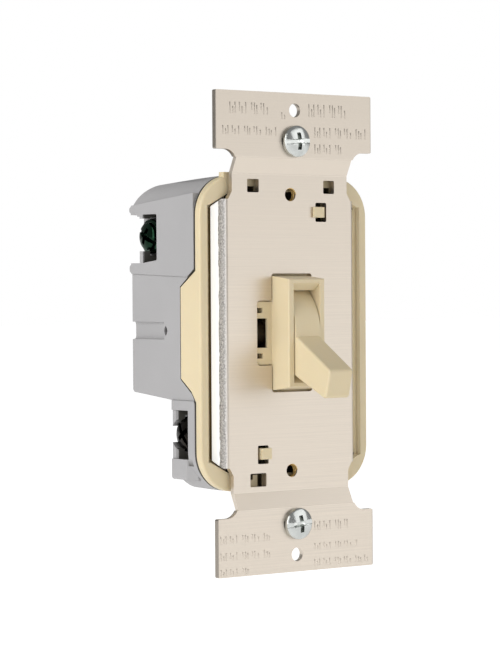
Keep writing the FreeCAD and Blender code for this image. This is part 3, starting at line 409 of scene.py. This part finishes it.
def make_materials():
    return {
        "strap_aluminium": brushed_strap("strap_aluminium", (0.73, 0.655, 0.565)),
        "ivory_plastic": ivory("ivory_plastic", (0.70, 0.59, 0.385), 0.42),
        "grey_plastic": housing_plastic("grey_plastic", (0.385, 0.378, 0.38), 0.46),
        "zinc_steel": plated_metal("zinc_steel", (0.66, 0.68, 0.66), 0.15),
        "green_screw": plated_metal("green_screw", (0.006, 0.022, 0.011), 0.07, (0.016, 0.045, 0.026)),
        "black_screw": plated_metal("black_screw", (0.012, 0.010, 0.008), 0.13, (0.03, 0.026, 0.02)),
        # dark_plating is a real plate's finish, made this dark partly as painted shade in the upper side
        # pocket.
        "dark_plating": plated_metal("dark_plating", (0.13, 0.12, 0.085), 0.4),
        "brass": plated_metal("brass", (0.72, 0.50, 0.20), 0.26),
        "fibre": moulded_plastic("fibre", (0.62, 0.58, 0.50), 0.8, 1500.0, 0.2),
        "board": laminate("board", (0.42, 0.27, 0.10)),
        "black_epoxy": moulded_plastic("black_epoxy", (0.02, 0.02, 0.022), 0.5, 2600.0),
        "tinned": plated_metal("tinned", (0.62, 0.62, 0.60), 0.3),
        "mica": moulded_plastic("mica", (0.65, 0.64, 0.60), 0.5, 1200.0),
        "ferrite": moulded_plastic("ferrite", (0.45, 0.36, 0.06), 0.55, 1800.0),
        "enamel_copper": plated_metal("enamel_copper", (0.50, 0.17, 0.06), 0.25),
        "film_box": moulded_plastic("film_box", (0.60, 0.28, 0.03), 0.28, 1800.0),
        "resistor_body": moulded_plastic("resistor_body", (0.52, 0.38, 0.24), 0.4, 1800.0),
        "carbon": moulded_plastic("carbon", (0.02, 0.02, 0.02), 0.6, 1800.0),
        "white_plastic": moulded_plastic("white_plastic", (0.74, 0.74, 0.71), 0.45, 2000.0),
        "silver": plated_metal("silver", (0.80, 0.79, 0.76), 0.15),
        "bronze": plated_metal("bronze", (0.60, 0.36, 0.16), 0.3),
    }


# ---------------------------------------------------------------- carried-over CAD nodes
# Rounding in mm, and the smallest corner in degrees that is rounded.
EDGE_ROUNDING = {
    "mounting_strap": 0.15,
    "front_cover": 0.25,
    "toggle_bezel": 0.18,
    "toggle_lever": 0.5,
    "rear_housing": 0.35,
}
PLAIN_ROUNDING = 0.12
CORNER_ANGLE = {"mounting_strap": 18.0}
PLAIN_CORNER = 30.0


def soften(node, width, corner):
    """Rounds an object's edges the way moulding or stamping does."""
    merge = node.modifiers.new("merge", "WELD")
    merge.merge_threshold = 0.01 * MM
    faces = node.modifiers.new("faces", "DECIMATE")
    faces.decimate_type = "DISSOLVE"
    faces.angle_limit = math.radians(0.6)
    bevel = node.modifiers.new("round", "BEVEL")
    bevel.width = width
    bevel.segments = 3
    bevel.limit_method = "ANGLE"
    bevel.angle_limit = math.radians(corner)
    bevel.miter_outer = "MITER_ARC"
    even_normals(node)


def even_normals(node):
    """Large flat faces keep their own normal right up to their rounded edges."""
    weighted = node.modifiers.new("normals", "WEIGHTED_NORMAL")
    weighted.mode = "FACE_AREA"
    weighted.weight = 100
    weighted.thresh = 0.05


def smooth(mesh):
    for polygon in mesh.polygons:
        polygon.use_smooth = True


def finish_nodes(materials):
    slots = {part["node"]: part["material_slot"] for part in frame["record"]["subparts"]}
    for name, node in frame["nodes"].items():
        node.data.materials.clear()
        node.data.materials.append(materials[slots[name]])
        smooth(node.data)
        rounding = EDGE_ROUNDING.get(name, PLAIN_ROUNDING) * MM
        soften(node, rounding, CORNER_ANGLE.get(name, PLAIN_CORNER))


# ---------------------------------------------------------------- pieces built here
def new_piece(name, mesh, material, body):
    smooth(mesh)
    mesh.materials.append(material)
    piece = bpy.data.objects.new(name, mesh)
    bpy.context.scene.collection.objects.link(piece)
    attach(piece, body)
    return piece


def revolve(outline, steps, radius_at=None):
    """A closed body of revolution about Z; outline is (radius, z) upwards, with both ends on the axis."""
    body = bmesh.new()
    bottom = body.verts.new((0, 0, outline[0][1]))
    top = body.verts.new((0, 0, outline[-1][1]))
    rings = []
    for radius, z in outline[1:-1]:
        ring = []
        for step in range(steps):
            angle = 2 * math.pi * step / steps
            reach = radius_at(radius, z, angle) if radius_at else radius
            ring.append(body.verts.new((reach * math.cos(angle), reach * math.sin(angle), z)))
        rings.append(ring)
    for step in range(steps):
        after = (step + 1) % steps
        body.faces.new((bottom, rings[0][after], rings[0][step]))
        body.faces.new((top, rings[-1][step], rings[-1][after]))
        for low, high in zip(rings, rings[1:]):
            body.faces.new((low[step], low[after], high[after], high[step]))
    return body


def to_mesh(body, name, matrix=None):
    mesh = bpy.data.meshes.new(name)
    if matrix is not None:
        bmesh.ops.transform(body, matrix=matrix, verts=body.verts)
    bmesh.ops.recalc_face_normals(body, faces=body.faces)
    body.to_mesh(mesh)
    body.free()
    return mesh


def cut_away(mesh, cutters):
    """The mesh with each cutter's volume taken out of it."""
    base = bpy.data.objects.new("base", mesh)
    bpy.context.scene.collection.objects.link(base)
    tools = []
    for index, cutter in enumerate(cutters):
        tool = bpy.data.objects.new("tool%d" % index, cutter)
        bpy.context.scene.collection.objects.link(tool)
        step = base.modifiers.new("cut%d" % index, "BOOLEAN")
        step.operation = "DIFFERENCE"
        step.solver = "EXACT"
        step.object = tool
        tools.append(tool)
    bpy.context.view_layer.update()
    result = bpy.data.meshes.new_from_object(base.evaluated_get(bpy.context.evaluated_depsgraph_get()))
    for thing in tools + [base]:
        bpy.data.objects.remove(thing)
    return result


def block_mesh(x0, x1, y0, y1, z0, z1, top_spread=1.0, turn=0.0):
    """A box whose top may be wider than its bottom, turned about Z."""
    body = bmesh.new()
    corners = []
    for z, spread in ((z0, 1.0), (z1, top_spread)):
        for x, y in ((x0, y0), (x1, y0), (x1, y1), (x0, y1)):
            corners.append(body.verts.new((x * spread, y * spread, z)))
    for face in ((3, 2, 1, 0), (4, 5, 6, 7), (0, 1, 5, 4), (1, 2, 6, 5), (2, 3, 7, 6), (3, 0, 4, 7)):
        body.faces.new([corners[index] for index in face])
    return to_mesh(body, "block", Matrix.Rotation(turn, 4, "Z"))


def crowned_outline(radius, height, crown, edge):
    """A screw head's outline, from the rim of its seat to the middle of its crown."""
    shoulder = height - crown
    outline = [(radius - 0.12 * MM, 0.0), (radius, 0.12 * MM), (radius, shoulder - edge)]
    return outline + crown_over(radius, shoulder, crown, edge)


def domed_outline(radius, flange, dome, height, crown, edge):
    """A thin flange under a narrower crowned dome."""
    shoulder = height - crown
    outline = [(radius - 0.1 * MM, 0.05 * MM), (radius, 0.15 * MM), (radius, flange - 0.2 * MM)]
    outline += [(radius - 0.06 * MM, flange - 0.06 * MM), (radius - 0.2 * MM, flange)]
    outline += [(dome + 0.3 * MM, flange + 0.02 * MM), (dome + 0.08 * MM, flange + 0.1 * MM)]
    outline += [(dome, flange + 0.3 * MM), (dome, shoulder - edge)]
    return outline + crown_over(dome, shoulder, crown, edge)


def crown_over(radius, shoulder, crown, edge):
    """The outline over a rounded edge and up a parabolic crown to the axis."""
    outline = []
    for step in range(1, 5):
        angle = math.radians(90 * step / 5)
        outline.append((radius - edge * (1 - math.cos(angle)), shoulder - edge + edge * math.sin(angle)))
    rim, lift = radius - edge * 0.75, 0.03 * MM
    for step in range(7):
        share = step / 7
        rise = (crown - lift) * (1 - (1 - share) ** 2)
        outline.append((rim * (1 - share), shoulder + lift + rise))
    outline.append((0.0, shoulder + crown))
    return outline


def screw_mesh(head, head_r, head_h, shank_r, length, neck_r, neck_length, turn):
    """A combination-recess machine screw: head up the Z axis from zero, threaded shank below it."""
    root_r = shank_r - THREAD_DEPTH

    def threaded(radius, z, angle):
        if z >= 0 or radius < neck_r:
            return radius
        if z > -neck_length:
            return neck_r
        phase = (z / THREAD_PITCH + angle / (2 * math.pi)) % 1.0
        taper = min(1.0, (z + length) / THREAD_RUN_OUT)
        return root_r + (radius - root_r) * taper * (1.0 - abs(2.0 * phase - 1.0))

    outline = [(0.0, -length), (root_r * 0.75, -length)]
    rows = int(length / THREAD_PITCH * 6)
    for row in range(rows + 1):
        z = -length + 0.25 * MM + (length - 0.3 * MM) * row / rows
        outline.append((shank_r if row else root_r, z))
    outline.append((neck_r, 0.0))
    outline += head
    body = to_mesh(revolve(outline, 48, threaded), "screw")
    reach = head_r * 1.2
    slot = block_mesh(-reach, reach, -SLOT_HALF, SLOT_HALF, head_h * 0.5, head_h * 2, turn=turn)
    cross = [block_mesh(-x, x, -y, y, head_h * 0.18, head_h * 1.4, CROSS_SPREAD, turn)
             for x, y in ((CROSS_ARM, CROSS_HALF), (CROSS_HALF, CROSS_ARM))]
    return cut_away(body, [slot] + cross)


def make_screws(materials):
    toward_room = Matrix.Rotation(math.radians(90), 4, "X")
    for name, z, turn in BOX_SCREWS:
        head = crowned_outline(BOX_HEAD_R, BOX_HEAD_H, BOX_HEAD_CROWN, BOX_HEAD_EDGE)
        mesh = screw_mesh(head, BOX_HEAD_R, BOX_HEAD_H, SHANK_R, BOX_SHANK_LENGTH,
                          BOX_NECK_R, BOX_NECK_LENGTH, math.radians(turn))
        mesh.transform(Matrix.Translation((0, BOX_SEAT_Y, z)) @ toward_room)
        finish_screw(name, mesh, materials, "zinc_steel")
    for name, side, y, z, dome, slot, turn in TERMINAL_SCREWS:
        head = domed_outline(FLANGE_R, FLANGE_H, dome, TERMINAL_HEAD_H, TERMINAL_HEAD_CROWN,
                             TERMINAL_HEAD_EDGE)
        mesh = screw_mesh(head, TERMINAL_SLOT_R, TERMINAL_HEAD_H, SHANK_R, TERMINAL_SHANK_LENGTH,
                          SHANK_R, TERMINAL_NECK_LENGTH, math.radians(turn))
        outward = Matrix.Rotation(math.radians(90 * side), 4, "Y")
        mesh.transform(Matrix.Translation((side * TERMINAL_SEAT_X, y, z)) @ outward)
        finish_screw(name, mesh, materials, slot)


def finish_screw(name, mesh, materials, slot):
    piece = new_piece(name + "_detail", mesh, materials[slot], name)
    bevel = piece.modifiers.new("round", "BEVEL")
    bevel.width = SCREW_ROUNDING
    bevel.segments = 2
    bevel.limit_method = "ANGLE"
    bevel.angle_limit = math.radians(38)
    even_normals(piece)
    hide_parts(name)


def make_tapped_threads(materials):
    """The thread that shows inside each cover-plate hole of the strap."""
    last = int(TAPPED_STEPS * TAPPED_TURNS)
    for name, z in TAPPED_THREADS:
        body = bmesh.new()
        rings = []
        for step in range(last + 1):
            angle = 2 * math.pi * step / TAPPED_STEPS
            middle_y = TAPPED_START_Y + TAPPED_PITCH * step / TAPPED_STEPS
            crest = TAPPED_RUN_OUT_R if step in (0, last) else TAPPED_CREST_R
            ring = []
            for radius, shift in ((crest, 0.0), (TAPPED_ROOT_R, TAPPED_HALF_WIDTH),
                                  (TAPPED_ROOT_R, -TAPPED_HALF_WIDTH)):
                place = (radius * math.cos(angle), middle_y + shift, z + radius * math.sin(angle))
                ring.append(body.verts.new(place))
            rings.append(ring)
        for low, high in zip(rings, rings[1:]):
            for index in range(3):
                after = (index + 1) % 3
                body.faces.new((low[index], low[after], high[after], high[index]))
        body.faces.new(rings[0])
        body.faces.new(list(reversed(rings[-1])))
        # The brass colour of these threads is painted light: it stands in for warm light from the ivory
        # behind the hole.
        new_piece(name, to_mesh(body, name), materials["brass"], "device")


# Each row of plain stamped strokes: left, right, bottom, top (mm on the ear's face).
# The photo's rows were projected through the fitted camera. The heights were then adjusted.
STROKE_ROWS = {
    "stamped_strokes_top": [
        (-17.3, -6.4, 47.3, 49.7),
        (-3.5, -2.1, 46.5, 47.9),
        (3.9, 15.3, 47.2, 49.9),
        (-19.2, -4.6, 42.8, 44.6),
        (5.5, 19.8, 42.7, 44.9),
        (5.5, 13.0, 39.2, 41.2),
    ],
    "stamped_strokes_bottom": [
        (4.9, 14.7, -43.5, -41.5),
        (-20.4, -6.6, -44.9, -43.3),
        (-20.4, -6.6, -48.5, -46.9),
        (-20.4, -12.2, -51.8, -50.4),
        (4.9, 17.2, -47.6, -46.3),
        (4.8, 20.4, -51.2, -49.8),
    ],
}
EAR_FACE_Y = -1.2 * MM
# Stroke heights as shares of their row's height, and steps from stroke to stroke (mm). Both repeat.
STROKE_SHARES = (1.0, 0.62, 1.0, 0.8, 0.62)
STROKE_STEPS = (0.75, 0.6, 1.15, 0.7, 0.95, 1.6)
STROKE_HALF = 0.15 * MM
STROKE_CREST = 0.04 * MM
STROKE_PROUD = 0.085 * MM
STROKE_SUNK = 0.05 * MM


def make_stamped_strokes(materials):
    """Rows of plain upright strokes stand where the real strap has stamped lettering."""
    for name, rows in STROKE_ROWS.items():
        body = bmesh.new()
        for left, right, bottom, top in rows:
            x = left
            count = 0
            while x < right - 0.3:
                tall = STROKE_SHARES[count % len(STROKE_SHARES)]
                low = bottom + (top - bottom) * (0.0 if count % 3 else (1.0 - tall))
                add_stroke(body, x * MM, low * MM, (low + (top - bottom) * tall) * MM)
                x += STROKE_STEPS[count % len(STROKE_STEPS)]
                count += 1
        new_piece(name, to_mesh(body, name), materials["strap_aluminium"], "device")


def rectangle(left, right, low, high):
    return [(left, low), (right, low), (right, high), (left, high)]


def add_stroke(body, x, low, high):
    """One ridge with sloping sides, its foot a little inside the ear."""
    base = rectangle(x - STROKE_HALF, x + STROKE_HALF, low, high)
    ridge = rectangle(x - STROKE_CREST, x + STROKE_CREST, low + STROKE_HALF, high - STROKE_HALF)
    rings = [[body.verts.new((px, EAR_FACE_Y + y, pz)) for px, pz in corners]
             for corners, y in ((base, STROKE_SUNK), (base, 0.0), (ridge, -STROKE_PROUD))]
    body.faces.new(list(reversed(rings[0])))
    body.faces.new(rings[2])
    for low_ring, high_ring in zip(rings, rings[1:]):
        for index in range(4):
            after = (index + 1) % 4
            body.faces.new((low_ring[index], low_ring[after], high_ring[after], high_ring[index]))


# ---------------------------------------------------------------- stage
def make_floor():
    """A plain pale floor, white to the camera and a weaker light on the object."""
    mesh = bpy.data.meshes.new("floor")
    z = CAD_LOW.z - FLOOR_DROP
    corners = rectangle(-FLOOR_HALF, FLOOR_HALF, -FLOOR_HALF, FLOOR_HALF)
    mesh.from_pydata([(x, y, z) for x, y in corners], [], [(0, 1, 2, 3)])
    floor = bpy.data.objects.new("floor", mesh)
    bpy.context.scene.collection.objects.link(floor)
    surface = Surface("floor", (0.93, 0.93, 0.93), 0.9, specular=0.1)
    surface.to("Base Color", surface.mix(surface.noise(3.0), (0.93, 0.93, 0.93), (0.96, 0.96, 0.96)))
    surface.set("Emission Color", (1.0, 1.0, 1.0, 1.0))
    path = surface.add("ShaderNodeLightPath")
    glow = surface.remap(path.outputs["Is Camera Ray"], 0.0, 1.0, FLOOR_LIGHT, FLOOR_SEEN)
    surface.to("Emission Strength", glow)
    mesh.materials.append(surface.material)


def make_world():
    """White to the camera, and a weaker light on the object."""
    world = bpy.data.worlds.new("studio")
    world.use_nodes = True
    tree = world.node_tree
    background = tree.nodes["Background"]
    background.inputs["Color"].default_value = (1.0, 1.0, 1.0, 1.0)
    path = tree.nodes.new("ShaderNodeLightPath")
    level = tree.nodes.new("ShaderNodeMapRange")
    level.inputs["To Min"].default_value = WORLD_LIGHT
    level.inputs["To Max"].default_value = WORLD_SEEN
    tree.links.new(path.outputs["Is Camera Ray"], level.inputs["Value"])
    tree.links.new(level.outputs["Result"], background.inputs["Strength"])
    bpy.context.scene.world = world


def soft_light(name, place, size, power):
    data = bpy.data.lights.new(name, "AREA")
    data.shape = "RECTANGLE"
    data.size, data.size_y = size
    data.energy = power
    light = bpy.data.objects.new(name, data)
    light.location = place
    light.rotation_mode = "QUATERNION"
    light.rotation_quaternion = (-Vector(place)).to_track_quat("-Z", "Y")
    bpy.context.scene.collection.objects.link(light)


def make_camera():
    data = bpy.data.cameras.new("camera")
    data.lens = CAMERA_LENS
    data.sensor_width = SENSOR_WIDTH
    data.clip_start = 10 * MM
    camera = bpy.data.objects.new("camera", data)
    azimuth, pitch = math.radians(CAMERA_AZIMUTH), math.radians(CAMERA_PITCH)
    level = math.cos(pitch)
    look = Vector((math.sin(azimuth) * level, math.cos(azimuth) * level, math.sin(pitch)))
    roll = Matrix.Rotation(math.radians(-CAMERA_ROLL), 3, "Z")
    turn = look.to_track_quat("-Z", "Y").to_matrix() @ roll
    camera.rotation_mode = "QUATERNION"
    camera.rotation_quaternion = turn.to_quaternion()
    camera.location = CAMERA_PLACE
    bpy.context.scene.collection.objects.link(camera)
    bpy.context.scene.camera = camera


bpy.context.scene.view_settings.view_transform = "Standard"
make_camera()
make_world()
for light in SOFT_LIGHTS:
    soft_light(*light)
make_floor()
made_materials = make_materials()
finish_nodes(made_materials)
make_screws(made_materials)
make_tapped_threads(made_materials)
make_stamped_strokes(made_materials)
